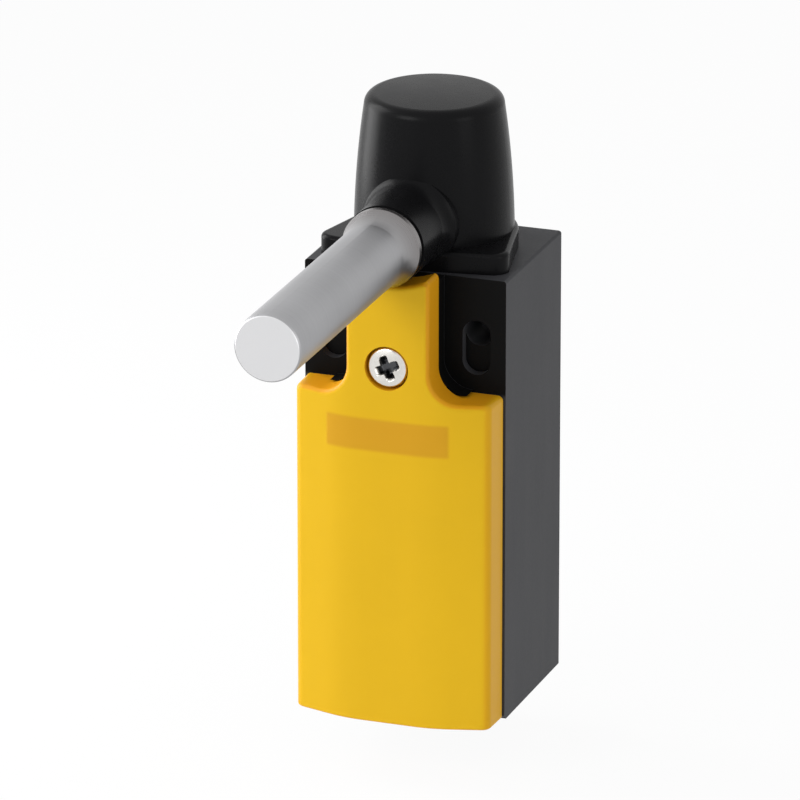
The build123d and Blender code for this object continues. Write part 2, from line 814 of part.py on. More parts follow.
# Solid shaft: plain front end, flared collar, journal, cam seat and tail
with BuildPart() as shaft:
    with BuildSketch(Plane.YZ):
        flare_front_y = collar_front_y - collar_flare
        flare_rise = collar_radius - shaft_radius
        with BuildLine():
            Polyline(
                (shaft_tip_y, shaft_z),
                (shaft_tip_y, shaft_z + shaft_radius - shaft_end_chamfer),
                (shaft_tip_y + shaft_end_chamfer, shaft_z + shaft_radius),
                (flare_front_y, shaft_z + shaft_radius),
            )
            ThreePointArc(
                (flare_front_y, shaft_z + shaft_radius),
                (
                    collar_front_y - collar_flare_bow[0] * collar_flare,
                    shaft_z + shaft_radius + collar_flare_bow[1] * flare_rise,
                ),
                (collar_front_y, shaft_z + collar_radius),
            )
            Polyline(
                (collar_front_y, shaft_z + collar_radius),
                (collar_rear_y - small_edge, shaft_z + collar_radius),
                (collar_rear_y, shaft_z + collar_radius - small_edge),
                (collar_rear_y, shaft_z + journal_radius),
                (clip_front_y, shaft_z + journal_radius),
                (clip_front_y, shaft_z + journal_radius - clip_groove_depth),
                (clip_rear_y, shaft_z + journal_radius - clip_groove_depth),
                (clip_rear_y, shaft_z + cam_seat_radius),
                (tail_start_y, shaft_z + cam_seat_radius),
                (tail_start_y, shaft_z + tail_radius),
                (tail_end_y, shaft_z + tail_radius),
                (tail_end_y, shaft_z),
                (shaft_tip_y, shaft_z),
            )
        make_face()
    revolve(axis=Axis((0, 0, shaft_z), (0, 1, 0)))
    with BuildSketch(Plane.YZ):
        with Locations((pin_y, shaft_z)):
            Circle(cam_pin_radius)
    extrude(amount=cam_hub_radius, both=True, mode=Mode.SUBTRACT)

shaft.part.label = "shaft"
export_step(shaft.part, "parts/shaft.step")

# Plain bearing bush
with BuildPart() as shaft_bush:
    with BuildSketch(facing_front(bush_rear_y)):
        with Locations((0, shaft_z)):
            Circle(bush_radius)
            Circle(journal_radius + running_clearance, mode=Mode.SUBTRACT)
    extrude(amount=bush_rear_y - bush_front_y)

shaft_bush.part.label = "shaft_bush"
export_step(shaft_bush.part, "parts/shaft_bush.step")

# Lip ring at the boss's mouth
with BuildPart() as shaft_seal:
    with BuildSketch(facing_front(boss_face_y + seal_setback + seal_length)):
        with Locations((0, shaft_z)):
            Circle(bush_radius)
            Circle(journal_radius + running_clearance, mode=Mode.SUBTRACT)
    extrude(amount=seal_length)

shaft_seal.part.label = "shaft_seal"
export_step(shaft_seal.part, "parts/shaft_seal.step")

# Retaining clip behind the bush
with BuildPart() as shaft_clip:
    with BuildSketch(facing_front(clip_rear_y)):
        with Locations((0, shaft_z)):
            Circle(clip_radius)
            Circle(journal_radius - clip_groove_depth, mode=Mode.SUBTRACT)
        with BuildLine():
            reach = 2 * clip_radius
            half_opening = radians(clip_opening / 2)
            Polyline(
                (0, shaft_z),
                (reach * sin(half_opening), shaft_z + reach * cos(half_opening)),
                (-reach * sin(half_opening), shaft_z + reach * cos(half_opening)),
                close=True,
            )
        make_face(mode=Mode.SUBTRACT)
    extrude(amount=clip_thickness)

shaft_clip.part.label = "shaft_clip"
export_step(shaft_clip.part, "parts/shaft_clip.step")


def cam_point(angle):
    """Point of the cam's flank whose normal points along this angle, seen from the front."""
    turned = radians(-90 - angle)
    reach = cam_start + cam_rate * turned
    across, up = cos(radians(angle)), sin(radians(angle))
    return (reach * across + cam_rate * up, shaft_z + reach * up - cam_rate * across)


# Cam with its pinned hub
with BuildPart() as cam:
    with BuildSketch(facing_front(-cam_front_y)):
        flank_angles = range(cam_margin - 90, -90 - cam_turn - cam_margin - 1, -cam_step)
        with BuildLine():
            flank = Spline([cam_point(angle) for angle in flank_angles])
            Polyline(flank @ 1, (0, shaft_z), flank @ 0)
        make_face()
        with Locations((0, shaft_z)):
            Circle(cam_start - cam_relief)
    extrude(amount=cam_width)
    with BuildSketch(facing_front(cam_front_y)):
        with Locations((0, shaft_z)):
            Circle(cam_hub_radius)
    extrude(amount=cam_hub_length)
    with BuildSketch(facing_front(-cam_front_y)):
        with Locations((0, shaft_z)):
            Circle(cam_seat_radius + cam_bore_slack)
    extrude(amount=cam_width + cam_hub_length, mode=Mode.SUBTRACT)
    with BuildSketch(Plane.YZ):
        with Locations((pin_y, shaft_z)):
            Circle(cam_pin_radius)
    extrude(amount=cam_hub_radius, both=True, mode=Mode.SUBTRACT)

cam.part.label = "cam"
export_step(cam.part, "parts/cam.step")

# Pin through the cam's hub and the shaft
with BuildPart() as cam_pin:
    with BuildSketch(Plane.YZ):
        with Locations((pin_y, shaft_z)):
            Circle(cam_pin_radius)
    extrude(amount=cam_hub_radius - cam_relief, both=True)

cam_pin.part.label = "cam_pin"
export_step(cam_pin.part, "parts/cam_pin.step")

# Plunger under the cam
with BuildPart() as head_plunger:
    with BuildSketch(Plane.XY.offset(plunger_foot)):
        Circle(plunger_stem_radius)
    extrude(amount=follower_z - plunger_foot)
    with BuildSketch(Plane.XY.offset(plunger_neck_z)):
        Circle(plunger_head_radius)
    extrude(amount=plunger_head_height)
    chamfer(head_plunger.faces().sort_by(Axis.Z)[0].edges(), length=small_edge)

head_plunger.part.label = "head_plunger"
export_step(head_plunger.part, "parts/head_plunger.step")

# Guide sleeve of the plunger
with BuildPart() as plunger_guide:
    with BuildSketch(Plane.XY.offset(chamber_top)):
        Circle(guide_radius)
        Circle(plunger_bore, mode=Mode.SUBTRACT)
    extrude(amount=guide_top - chamber_top)
    with BuildSketch(Plane.XY.offset(guide_seat_z)):
        Circle(guide_cup_radius)
    extrude(amount=guide_top - guide_seat_z, mode=Mode.SUBTRACT)
    with BuildSketch(Plane.XY.offset(plunger_seal_low)):
        Circle(plunger_seal_radius)
    extrude(amount=plunger_seal_height, mode=Mode.SUBTRACT)

plunger_guide.part.label = "plunger_guide"
export_step(plunger_guide.part, "parts/plunger_guide.step")

# Wiper ring round the plunger
with BuildPart() as plunger_seal:
    with BuildSketch(Plane.XY.offset(plunger_seal_low)):
        Circle(plunger_seal_radius)
        Circle(plunger_bore, mode=Mode.SUBTRACT)
    extrude(amount=plunger_seal_height)

plunger_seal.part.label = "plunger_seal"
export_step(plunger_seal.part, "parts/plunger_seal.step")

# Return spring of the plunger
plunger_spring = coil(
    plunger_head_radius - plunger_spring_inset,
    plunger_spring_wire,
    guide_seat_z,
    plunger_neck_z,
    plunger_spring_turns,
)
plunger_spring.label = "plunger_spring"
export_step(plunger_spring, "parts/plunger_spring.step")

# Moulded body of the contact insert
with BuildPart() as contact_block_body:
    with BuildSketch(Plane.XY.offset(block_bottom)):
        with Locations((0, (block_front + block_rear) / 2)):
            Rectangle(2 * block_half, block_rear - block_front)
    extrude(amount=block_height)
    fillet(contact_block_body.edges().filter_by(Axis.Z), radius=small_edge)
    with BuildSketch(facing_front(block_front)):
        with Locations((0, (cavity_bottom + cavity_top) / 2)):
            Rectangle(2 * cavity_half, cavity_top - cavity_bottom)
    extrude(amount=-(cavity_rear - block_front), mode=Mode.SUBTRACT)
    # Dividers between the levels
    with BuildSketch(facing_front(block_front)):
        with Locations(*((0, z) for z in divider_heights)):
            Rectangle(2 * cavity_half, divider)
    extrude(amount=-(cavity_rear - block_front))
    slot_rear = carrier_half_depth + carrier_slack
    with BuildSketch(Plane.XY.offset(cavity_bottom)):
        with Locations((0, (block_front + slot_rear) / 2)):
            Rectangle(2 * (carrier_half_width + carrier_slack), slot_rear - block_front)
    extrude(amount=cavity_top - cavity_bottom, mode=Mode.SUBTRACT)
    # Hole in the roof for the plunger, and the return spring's seat in the floor
    with BuildSketch(Plane.XY.offset(cavity_top)):
        Circle(plunger_stem_radius + carrier_slack)
    extrude(amount=block_roof, mode=Mode.SUBTRACT)
    with BuildSketch(Plane.XY.offset(cavity_bottom)):
        Circle(carrier_spring_radius + 2 * carrier_spring_wire)
    extrude(amount=-floor_pocket, mode=Mode.SUBTRACT)
    # Slots for the fixed strips and holes for the terminal screws
    for level, middle in zip(levels, tab_middles):
        low, high = strip_span(*level)
        with BuildSketch(facing_front(block_front)):
            for side in sides:
                slot_middle = side * (cavity_half + strip_outer) / 2
                with Locations((slot_middle, (low + high) / 2)):
                    Rectangle(strip_outer - cavity_half + 2 * seat_slack, high - low + 2 * seat_slack)
        extrude(amount=-(strip_half_width + seat_slack - block_front), mode=Mode.SUBTRACT)
        with BuildSketch(facing_front(block_front)):
            with Locations((-terminal_x, middle), (terminal_x, middle)):
                Circle(screw_bore)
        extrude(amount=-terminal_shank_length, mode=Mode.SUBTRACT)
    # Barriers between the terminals
    barrier_heights = [block_bottom + barrier / 2, *divider_heights, block_top - barrier / 2]
    barrier_inner = cavity_half + rim_overlap + seat_slack
    with BuildSketch(facing_front(block_front)):
        for side in sides:
            with Locations(*((side * (barrier_inner + block_half) / 2, z) for z in barrier_heights)):
                Rectangle(block_half - barrier_inner, barrier)
    extrude(amount=barrier_reach)
    # Ears with their screw holes
    with BuildSketch(facing_front(block_rear)):
        with Locations((-terminal_x, ear_z), (terminal_x, ear_z)):
            Rectangle(2 * ear_half_width, ear_height)
            Circle(block_screw_radius + seat_slack, mode=Mode.SUBTRACT)
    extrude(amount=ear_thickness)

contact_block_body.part.label = "contact_block_body"
export_step(contact_block_body.part, "parts/contact_block_body.step")

# Front plate of the insert, with the rib that guides the carrier
with BuildPart() as contact_block_front:
    with BuildSketch(facing_front(block_front)):
        with Locations((0, (block_bottom + block_top) / 2)):
            RectangleRounded(2 * (cavity_half + rim_overlap), block_height - 2 * seat_slack, small_edge)
    extrude(amount=plate_thickness)
    with BuildSketch(facing_front(block_front - plate_thickness)):
        with Locations((0, (block_bottom + block_top) / 2)):
            RectangleRounded(
                2 * (cavity_half - plate_panel_inset),
                block_height - 4 * plate_thickness,
                plate_thickness,
            )
    extrude(amount=plate_thickness / 2)
    with BuildSketch(facing_front(block_front)):
        with Locations((0, (cavity_bottom + cavity_top) / 2)):
            Rectangle(2 * plate_rib_half, cavity_top - cavity_bottom - 2 * carrier_slack)
    extrude(amount=block_front + carrier_half_depth + carrier_slack)

contact_block_front.part.label = "contact_block_front"
export_step(contact_block_front.part, "parts/contact_block_front.step")

# Fixed contacts: each strip ends in a terminal tab in front
with BuildPart() as fixed_contacts:
    for level, middle in zip(levels, tab_middles):
        low, high = strip_span(*level)
        tab_low, tab_high = tab_span(*level)
        face, way = level
        with BuildSketch(Plane.XY.offset(low)):
            for side in sides:
                with Locations((side * (strip_inner + strip_outer) / 2, 0)):
                    Rectangle(strip_outer - strip_inner, 2 * strip_half_width)
                with Locations((side * terminal_x, (tab_y + strip_half_width) / 2)):
                    Rectangle(2 * tab_half_width, strip_half_width - tab_y)
        extrude(amount=strip_thickness)
        with BuildSketch(facing_front(block_front)):
            with Locations((-terminal_x, middle), (terminal_x, middle)):
                Rectangle(2 * tab_half_width, tab_high - tab_low)
                Circle(screw_bore, mode=Mode.SUBTRACT)
        extrude(amount=strip_thickness)
        with BuildSketch(Plane.XY.offset(face)):
            with Locations((-rivet_reach, 0), (rivet_reach, 0)):
                Circle(rivet_radius)
        extrude(amount=way * rivet_height)

fixed_contacts.part.label = "fixed_contacts"
export_step(fixed_contacts.part, "parts/fixed_contacts.step")

# Square clamp washers of the terminals
with BuildPart() as terminal_clamps:
    with BuildSketch(facing_front(tab_y)):
        with Locations(*((side * terminal_x, z) for side in sides for z in tab_middles)):
            RectangleRounded(2 * tab_half_width, 2 * tab_half_width, small_edge)
            Circle(screw_bore, mode=Mode.SUBTRACT)
    extrude(amount=clamp_thickness)

terminal_clamps.part.label = "terminal_clamps"
export_step(terminal_clamps.part, "parts/terminal_clamps.step")

# Terminal screws
with BuildPart() as terminal_screws:
    screw_places = [(side * terminal_x, z) for side in sides for z in tab_middles]
    with BuildSketch(facing_front(clamp_y)):
        with Locations(*screw_places):
            Circle(terminal_head_radius)
    extrude(amount=terminal_head_height)
    with BuildSketch(facing_front(clamp_y)):
        with Locations(*screw_places):
            Circle(terminal_shank_radius)
    extrude(amount=-terminal_shank_length)
    with BuildSketch(facing_front(clamp_y - terminal_head_height / 2)):
        with Locations(*screw_places):
            Rectangle(2 * terminal_head_radius, terminal_slot)
            Rectangle(terminal_slot, terminal_head_radius)
    extrude(amount=terminal_head_height / 2, mode=Mode.SUBTRACT)

terminal_screws.part.label = "terminal_screws"
export_step(terminal_screws.part, "parts/terminal_screws.step")

# Screws through the insert's ears
with BuildPart() as block_screws:
    ear_places = [(-terminal_x, ear_z), (terminal_x, ear_z)]
    with BuildSketch(facing_front(ear_front)):
        with Locations(*ear_places):
            Circle(block_screw_head_radius)
    extrude(amount=block_screw_head_height)
    with BuildSketch(facing_front(ear_front)):
        with Locations(*ear_places):
            Circle(block_screw_radius)
    extrude(amount=-(ear_thickness + block_screw_grip))
    with BuildSketch(facing_front(ear_front - block_screw_head_height / 2)):
        with Locations(*ear_places):
            Rectangle(small_cross_length, cross_width)
            Rectangle(cross_width, small_cross_length)
    extrude(amount=block_screw_head_height / 2, mode=Mode.SUBTRACT)

block_screws.part.label = "block_screws"
export_step(block_screws.part, "parts/block_screws.step")

# Sliding carrier with a window for each bridge
with BuildPart() as contact_carrier:
    with BuildSketch(Plane.XY.offset(carrier_bottom)):
        Rectangle(2 * carrier_half_width, 2 * carrier_half_depth)
    extrude(amount=carrier_shoulder - carrier_bottom)
    fillet(contact_carrier.edges().filter_by(Axis.Z), radius=small_edge)
    with BuildSketch(Plane.XY.offset(carrier_shoulder)):
        Circle(plunger_stem_radius)
    extrude(amount=carrier_neck_length)
    for level in levels:
        bridge_low, bridge_high = bridge_span(*level)
        spring_low, spring_high = bridge_spring_span(*level)
        window_low = min(bridge_low, spring_low)
        window_high = max(bridge_high, spring_high)
        with BuildSketch(Plane.YZ):
            with Locations((0, (window_low + window_high) / 2)):
                Rectangle(2 * (bridge_half_width + window_slack), window_high - window_low)
        extrude(amount=2 * carrier_half_width, both=True, mode=Mode.SUBTRACT)
    with BuildSketch(Plane.XY.offset(carrier_bottom)):
        Circle(carrier_spring_radius + 2 * carrier_spring_wire)
    extrude(amount=carrier_pocket, mode=Mode.SUBTRACT)

contact_carrier.part.label = "contact_carrier"
export_step(contact_carrier.part, "parts/contact_carrier.step")

# Moving bridges with a rivet at each end
with BuildPart() as contact_bridges:
    for face, way in levels:
        bridge_low, bridge_high = bridge_span(face, way)
        with BuildSketch(Plane.XY.offset(bridge_low)):
            RectangleRounded(2 * bridge_half_length, 2 * bridge_half_width, small_edge)
        extrude(amount=bridge_thickness)
        with BuildSketch(Plane.XY.offset(bridge_face(face, way))):
            with Locations((-rivet_reach, 0), (rivet_reach, 0)):
                Circle(rivet_radius)
        extrude(amount=-way * rivet_height)

contact_bridges.part.label = "contact_bridges"
export_step(contact_bridges.part, "parts/contact_bridges.step")

# Contact pressure springs in the carrier's windows
pressure_springs = [
    coil(bridge_spring_radius, bridge_spring_wire, *bridge_spring_span(*level), bridge_spring_turns)
    for level in levels
]
with BuildPart() as bridge_springs:
    add(pressure_springs)

bridge_springs.part.label = "bridge_springs"
export_step(bridge_springs.part, "parts/bridge_springs.step")

# Return spring of the carrier
carrier_spring = coil(
    carrier_spring_radius,
    carrier_spring_wire,
    cavity_bottom - floor_pocket,
    carrier_bottom + carrier_pocket,
    carrier_spring_turns,
)
carrier_spring.label = "carrier_spring"
export_step(carrier_spring, "parts/carrier_spring.step")
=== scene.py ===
"""Looks of a safety hinge switch: stage, camera, materials and detailed fasteners round its CAD frame."""

from math import cos, pi, radians, sin, tau

import bmesh
import bpy
from bpy.props import FloatProperty, FloatVectorProperty, IntProperty, PointerProperty
from mathutils import Matrix, Vector


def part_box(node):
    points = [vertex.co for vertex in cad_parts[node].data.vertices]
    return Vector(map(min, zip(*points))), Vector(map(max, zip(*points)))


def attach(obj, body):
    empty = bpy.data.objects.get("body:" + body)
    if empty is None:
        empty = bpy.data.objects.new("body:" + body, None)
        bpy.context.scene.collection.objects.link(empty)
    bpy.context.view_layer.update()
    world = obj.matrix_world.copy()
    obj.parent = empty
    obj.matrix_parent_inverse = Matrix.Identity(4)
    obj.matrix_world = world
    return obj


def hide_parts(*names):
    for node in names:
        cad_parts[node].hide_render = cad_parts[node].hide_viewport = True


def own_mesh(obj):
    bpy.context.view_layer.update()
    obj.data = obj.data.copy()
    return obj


bl_info = {
    "name": "Safety hinge switch",
    "version": (1, 0, 0),
    "blender": (4, 5, 0),
    "location": "View3D > Sidebar > Switch",
    "description": "Dresses the packed switch with its materials, fasteners and studio",
    "category": "Object",
}

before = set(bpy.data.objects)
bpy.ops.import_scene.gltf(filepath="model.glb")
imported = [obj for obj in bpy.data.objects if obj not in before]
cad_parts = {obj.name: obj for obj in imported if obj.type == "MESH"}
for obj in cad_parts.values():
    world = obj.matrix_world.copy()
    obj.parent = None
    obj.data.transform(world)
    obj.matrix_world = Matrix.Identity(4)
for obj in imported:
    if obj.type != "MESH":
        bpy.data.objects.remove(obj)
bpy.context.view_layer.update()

WHITE = (1.0, 1.0, 1.0, 1.0)
ROOM_LIGHT = (0.95, 0.97, 1.0, 1.0)
# Near black painted into a screw's cross recess as shade
RECESS_SHADE = (0.02, 0.024, 0.032, 1.0)
LIP_RUBBER = (0.012, 0.012, 0.012, 1.0)
SEAL_RUBBER = (0.014, 0.014, 0.015, 1.0)
SHARP_EDGE = radians(38)


def colour_property(name, description, colour):
    """A linear colour with four channels, as the shaders take it."""
    return FloatVectorProperty(
        name=name,
        description=description,
        default=(*colour, 1.0),
        size=4,
        subtype="COLOR",
        min=0.0,
        max=1.0,
    )


def length_property(name, description, value):
    """A length in metres."""
    return FloatProperty(name=name, description=description, default=value, unit="LENGTH", precision=5)


def corner_property(name, description, corner):
    """Two lengths in metres."""
    return FloatVectorProperty(
        name=name, description=description, default=corner, size=2, unit="LENGTH", precision=5
    )


def share_property(name, description, value):
    """A share from 0 to 1."""
    return FloatProperty(name=name, description=description, default=value, min=0.0, max=1.0)


def power_property(name, description, value):
    """A lamp's power in watts."""
    return FloatProperty(name=name, description=description, default=value, min=0.0, unit="POWER")


class Socket:
    """An output socket that can stand in sums, products and comparisons of numbers."""

    def __init__(self, shader, output):
        self.shader = shader
        self.output = output

    def maths(self, operation, *values):
        return self.shader.add("ShaderNodeMath", {"operation": operation}, *values)

    def __add__(self, other):
        return self.maths("ADD", self, other)

    def __radd__(self, other):
        return self.maths("ADD", other, self)

    def __sub__(self, other):
        return self.maths("SUBTRACT", self, other)

    def __rsub__(self, other):
        return self.maths("SUBTRACT", other, self)

    def __mul__(self, other):
        return self.maths("MULTIPLY", self, other)

    def __rmul__(self, other):
        return self.maths("MULTIPLY", other, self)

    def __pow__(self, other):
        return self.maths("POWER", self, other)

    def __abs__(self):
        return self.maths("ABSOLUTE", self)

    def high(self, other):
        return self.maths("MAXIMUM", self, other)

    def step(self, start, end):
        """Smooth rise from 0 at start to 1 at end."""
        settings = {"interpolation_type": "SMOOTHSTEP"}
        return self.shader.add("ShaderNodeMapRange", settings, self, start, end, 0.0, 1.0)


class Shader:
    """Node tree of a material, or of the world that is given as its owner, written as expressions."""

    def __init__(self, name, owner=None):
        self.material = owner or bpy.data.materials.new(name)
        self.material.use_nodes = True
        self.nodes = self.material.node_tree.nodes
        self.links = self.material.node_tree.links
        self.nodes.clear()

    def add(self, kind, settings=None, *values, output=0, **named):
        """A node of this kind: its settings first, then its inputs by place or by name."""
        node = self.nodes.new(kind)
        for key, value in (settings or {}).items():
            setattr(node, key, value)
        for index, value in enumerate(values):
            self.feed(node.inputs[index], value)
        for key, value in named.items():
            self.feed(node.inputs[key.replace("_", " ")], value)
        if output is not None:
            return Socket(self, node.outputs[output])

    def feed(self, target, value):
        if isinstance(value, Socket):
            self.links.new(value.output, target)
        elif value is not None:
            target.default_value = value

    def place(self):
        """Position on the part in metres, and its three numbers."""
        point = self.add("ShaderNodeTexCoord", None, output="Object")
        return point, *(self.part(point, axis) for axis in range(3))

    def part(self, vector, axis):
        """One of a vector's three numbers."""
        return self.add("ShaderNodeSeparateXYZ", None, vector, output=axis)

    def facing(self, axis, start=0.6, end=0.9):
        """1 where the surface looks down this axis, towards its negative side."""
        normal = self.add("ShaderNodeNewGeometry", None, output="Normal")
        return (0.0 - self.part(normal, axis)).step(start, end)

    def seen(self):
        """1 on a ray from the camera, and on what metal and glass show of it."""
        rays = ("Is Camera Ray", "Is Glossy Ray", "Is Transmission Ray")
        first, second, third = (self.add("ShaderNodeLightPath", None, output=ray) for ray in rays)
        return first.high(second).high(third)

    def noise(self, point, scale, detail=2.0, roughness=0.5):
        return self.add(
            "ShaderNodeTexNoise", None, Vector=point, Scale=scale, Detail=detail, Roughness=roughness
        )

    def stretched(self, point, stretch):
        return self.add("ShaderNodeVectorMath", {"operation": "MULTIPLY"}, point, stretch)

    def mix(self, share, first, second):
        """First colour at share 0, second at share 1."""
        node = self.nodes.new("ShaderNodeMix")
        node.data_type = "RGBA"
        self.feed(node.inputs[0], share)
        self.feed(node.inputs[6], first)
        self.feed(node.inputs[7], second)
        return Socket(self, node.outputs[2])

    def bump(self, height, depth, strength=1.0, normal=None):
        return self.add(
            "ShaderNodeBump", None, Strength=strength, Distance=depth, Height=height, Normal=normal
        )

    def surface(self, colour, roughness, normal=None, **named):
        """Principled surface, joined to the output."""
        shaded = self.add(
            "ShaderNodeBsdfPrincipled",
            None,
            Base_Color=colour,
            Roughness=roughness,
            Normal=normal,
            **named,
        )
        return self.finish("ShaderNodeOutputMaterial", shaded)

    def finish(self, kind, shaded):
        """Joins the shaded result to the tree's output."""
        self.add(kind, None, shaded, output=None)
        return self.material


def scaled(colour, share):
    """The same colour, darker or lighter."""
    return tuple(min(1.0, channel * share) for channel in colour[:3]) + (1.0,)


def box_mask(x, z, low, high, soft):
    """1 inside a rectangle of X and Z, with soft edges."""
    across = (x - low[0]).step(-soft, soft) * (x - high[0]).step(soft, -soft)
    return across * (z - low[1]).step(-soft, soft) * (z - high[1]).step(soft, -soft)


def moulded_plastic(shader, colour, roughness, grain=2600.0, depth=0.00002, point=None, cloudy=0.05):
    """Colour, roughness and normal of a moulded skin with a fine spark-eroded grain."""
    if point is None:
        point = shader.place()[0]
    cloud = shader.noise(point, 55.0, 3.0)
    flow = shader.noise(shader.stretched(point, (260.0, 260.0, 40.0)), 1.0, 2.0)
    skin = shader.noise(point, grain, 3.0, 0.6)
    tone = (cloud * 0.7 + flow * 0.3).step(0.3, 0.7)
    tint = shader.mix(tone, scaled(colour, 1.0 - cloudy), scaled(colour, 1.0 + cloudy))
    gloss = roughness + (flow - 0.5) * 0.10 + (skin - 0.5) * 0.08
    return tint, gloss, shader.bump(skin, depth, 0.35)


def plain_plastic(name, colour, roughness, grain=2600.0, depth=0.00002, specular=0.45):
    """The moulded skin alone, as a whole material."""
    shader = Shader(name)
    tint, gloss, normal = moulded_plastic(shader, colour, roughness, grain, depth)
    return shader.surface(tint, gloss, normal, Specular_IOR_Level=specular)


def turned_metal(name, colour, roughness, axis, centre, pitch=0.00022, faced=None, polished_and_shaded=None):
    """Metal with the rings that a lathe leaves round this axis and centre.

    faced gives the colour and place of its end, polished_and_shaded the colour of painted shade and the
    reach of a zone that is also made smoother.
    """
    shader = Shader(name)
    point, x, y, z = shader.place()
    parts = [x, y, z]
    along = parts.pop(axis)
    offsets = [value for index, value in enumerate(centre) if index != axis]
    first = parts[0] - offsets[0]
    second = parts[1] - offsets[1]
    reach = (first * first + second * second) ** 0.5
    turns = shader.add("ShaderNodeCombineXYZ", None, along, reach, 0.0)
    rings = shader.noise(shader.stretched(turns, (1 / pitch, 1 / pitch, 1.0)), 1.0, 3.0, 0.7)
    smudge = shader.noise(point, 90.0, 3.0)
    tone = (rings * 0.6 + smudge * 0.4).step(0.25, 0.75)
    tint = shader.mix(tone, scaled(colour, 0.9), scaled(colour, 1.06))
    if faced:
        end_colour, end_place = faced
        tint = shader.mix(along.step(end_place + 0.00005, end_place - 0.00005), tint, end_colour)
    gloss = roughness + (rings - 0.5) * 0.12 + (smudge - 0.5) * 0.10
    # Painted shade: the zone's colour is mixed towards a darker steel, and its roughness is lowered
    if polished_and_shaded:
        shade_colour, start, end = polished_and_shaded
        zone = along.step(start, end)
        tint = shader.mix(zone * 0.8, tint, shade_colour)
        gloss = gloss - zone * 0.14
    return shader.surface(tint, gloss, shader.bump(rings, 0.000006, 0.3), Metallic=1.0)


def plated_metal(name, colour, roughness, tarnish=0.12, recess=None):
    """Plated or drawn metal with a cloudy tone and fine scratches, and painted shade in a screw's recess.
    """
    shader = Shader(name)
    point, x, y, z = shader.place()
    cloud = shader.noise(point, 420.0, 4.0, 0.6)
    scratch = shader.noise(shader.stretched(point, (1500.0, 1500.0, 12000.0)), 1.0, 2.0)
    tint = shader.mix(cloud.step(0.3, 0.7), scaled(colour, 1.0 - tarnish), scaled(colour, 1.04))
    if recess:
        middle, start, end = recess
        reach = ((x - middle.x) ** 2.0 + (z - middle.z) ** 2.0) ** 0.5
        # Painted shade: the inside of the screw's cross recess is mixed towards near black
        recess_shade = reach.step(0.0024, 0.0021) * y.step(start, start + 0.0004) * y.step(end + 0.0001, end)
        tint = shader.mix(recess_shade * 0.92, tint, RECESS_SHADE)
    gloss = roughness + (cloud - 0.5) * 0.16 + (scratch - 0.5) * 0.08
    return shader.surface(tint, gloss, shader.bump(scratch, 0.000006, 0.35), Metallic=1.0)


def soft_rubber(name, colour):
    """Dull rubber with a faint bloom."""
    shader = Shader(name)
    point = shader.place()[0]
    skin = shader.noise(point, 1800.0, 3.0)
    bloom = shader.noise(point, 160.0, 3.0).step(0.5, 0.75)
    tint = shader.mix(bloom * 0.3, colour, scaled(colour, 1.9))
    return shader.surface(tint, 0.62 + (skin - 0.5) * 0.15, shader.bump(skin, 0.00002, 0.4))


def dress(names, material):
    """Gives these CAD nodes this material."""
    for name in names:
        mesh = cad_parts[name].data
        mesh.materials.clear()
        mesh.materials.append(material)


def mesh_piece(name, body, build, material, replaced=()):
    """A new piece on a body, whose mesh the build function makes."""
    bm = bmesh.new()
    build(bm)
    bmesh.ops.recalc_face_normals(bm, faces=bm.faces)
    mesh = bpy.data.meshes.new(name)
    bm.to_mesh(mesh)
    bm.free()
    mesh.shade_smooth()
    piece = bpy.data.objects.new(name, mesh)
    bpy.context.scene.collection.objects.link(piece)
    mesh.materials.append(material)
    mesh.set_sharp_from_angle(angle=SHARP_EDGE)
    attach(piece, body)
    if replaced:
        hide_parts(*replaced)
    return piece


def rings(bm, loops):
    """Faces between successive closed loops of points, with a fan over the first and last."""
    made = [[bm.verts.new(point) for point in loop] for loop in loops]
    for lower, upper in zip(made, made[1:]):
        count = len(lower)
        for index in range(count):
            after = (index + 1) % count
            bm.faces.new((lower[index], lower[after], upper[after], upper[index]))
    for loop in (made[0], made[-1]):
        middle = bm.verts.new(sum((vert.co for vert in loop), Vector()) / len(loop))
        for index, vert in enumerate(loop):
            bm.faces.new((vert, loop[(index + 1) % len(loop)], middle))


def smooth_rise(value, start, end):
    """Smooth rise of a number from 0 at start to 1 at end."""
    share = min(1.0, max(0.0, (value - start) / (end - start)))
    return share * share * (3.0 - 2.0 * share)


def cross_depth(x, y, arm, width, tilt):
    """Share of a cross recess's depth at this point of a screw's head."""
    turned_x = x * cos(tilt) + y * sin(tilt)
    turned_y = y * cos(tilt) - x * sin(tilt)
    deepest = 0.0
    for along, across in ((turned_x, turned_y), (turned_y, turned_x)):
        walls = 1.0 - smooth_rise(abs(across), width * 0.38, width * 0.62)
        ends = 1.0 - smooth_rise(abs(along), arm * 0.45, arm)
        deepest = max(deepest, walls * ends)
    return deepest


